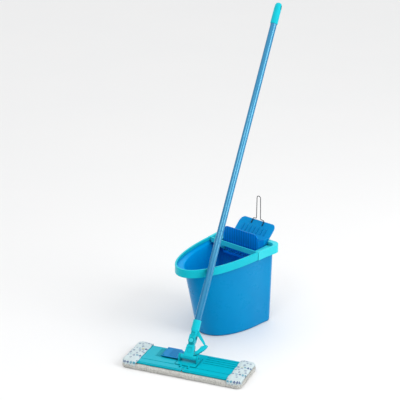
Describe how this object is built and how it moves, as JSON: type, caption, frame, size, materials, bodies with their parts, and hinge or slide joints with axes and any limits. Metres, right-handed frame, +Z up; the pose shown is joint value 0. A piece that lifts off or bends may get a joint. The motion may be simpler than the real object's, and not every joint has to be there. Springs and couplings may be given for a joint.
{
  "type": "mop and bucket with wringer",
  "caption": "Flat folding floor mop leaning on a rounded-nose bucket with a two-jaw press wringer over its rear, for wet mopping and wringing.",
  "frame": {"origin": "centre of the bucket base, on the floor", "axes": "+Z up; +X along the bucket from the pouring nose to the wringer; +Y to the side away from the mop, which stands at -X"},
  "size_m": [0.8394, 0.4726, 1.0932],
  "materials": {
    "bucket_blue": "smooth moulded",
    "turquoise": "smooth moulded",
    "deep_blue": "smooth moulded",
    "tube_blue": "glossy coating",
    "steel": "bright wire",
    "microfibre": "looped pile",
    "printed_cloth": "woven, printed"
  },
  "bodies": {
    "bucket": {"bucket_shell": "bucket_blue", "rim_band": "turquoise", "wringer_frame": "turquoise", "front_jaw_pin": "steel", "rear_jaw_pin": "steel", "sieve_tray": "deep_blue"},
    "front_jaw": {"front_jaw": "deep_blue"},
    "rear_jaw": {"rear_jaw": "bucket_blue", "guide_wire": "steel"},
    "mop_head": {"turret": "deep_blue", "fold_pin_left": "steel", "fold_pin_right": "steel", "pitch_pin": "steel"},
    "left_wing": {"left_wing": "turquoise", "pad_left": "microfibre", "pocket_left": "printed_cloth", "pedal_pin": "steel"},
    "right_wing": {"right_wing": "turquoise", "pad_right": "microfibre", "pocket_right": "printed_cloth"},
    "pedal": {"release_pedal": "deep_blue"},
    "yoke": {"yoke": "turquoise", "latch_pin": "steel"},
    "latch": {"latch_arm": "turquoise"},
    "handle": {"socket": "turquoise", "roll_pin": "steel", "boss_button": "turquoise", "handle_tube": "tube_blue", "tube_plug": "deep_blue", "handle_cap": "turquoise"}
  },
  "joints": [
    {"name": "mop_lift", "type": "slide", "parent": "bucket", "child": "mop_head", "axis": [0, 0, 1], "range_m": [0, 0.45]},
    {"name": "fold_right", "type": "hinge", "parent": "mop_head", "child": "right_wing", "pos_m": [-0.34759, -0.14029, 0.0235], "axis": [0.9491, 0.315, 0], "range_deg": [0, 60]},
    {"name": "fold_left", "type": "hinge", "parent": "mop_head", "child": "left_wing", "pos_m": [-0.35641, -0.11371, 0.0235], "axis": [-0.9491, -0.315, 0], "range_deg": [0, 60]},
    {"name": "pedal_press", "type": "hinge", "parent": "left_wing", "child": "pedal", "pos_m": [-0.38272, -0.03447, 0.028], "axis": [0.9491, 0.315, 0], "range_deg": [0, 3], "stiffness_Nm_per_rad": 0.6, "springref_deg": -5.73},
    {"name": "handle_pitch", "type": "hinge", "parent": "mop_head", "child": "yoke", "pos_m": [-0.352, -0.127, 0.042], "axis": [0.315, -0.9491, 0], "range_deg": [0, 109.4]},
    {"name": "handle_roll", "type": "hinge", "parent": "yoke", "child": "handle", "pos_m": [-0.32254, -0.11722, 0.0874], "axis": [0.7835, 0.2601, -0.5643], "range_deg": [0, 45]},
    {"name": "latch_press", "type": "hinge", "parent": "yoke", "child": "latch", "pos_m": [-0.33863, -0.14311, 0.05314], "axis": [0.7835, 0.2601, -0.5643], "range_deg": [0, 8], "stiffness_Nm_per_rad": 0.4, "springref_deg": -5.73},
    {"name": "front_jaw_close", "type": "hinge", "parent": "bucket", "child": "front_jaw", "pos_m": [0.091, 0, 0.238], "axis": [0, 1, 0], "range_deg": [0, 7]},
    {"name": "rear_jaw_close", "type": "hinge", "parent": "bucket", "child": "rear_jaw", "pos_m": [0.111, 0, 0.238], "axis": [0, -1, 0], "range_deg": [0, 7]}
  ],
  "couplings": [
    {"joint": "fold_left", "follows": "fold_right", "ratio": 1}
  ]
}
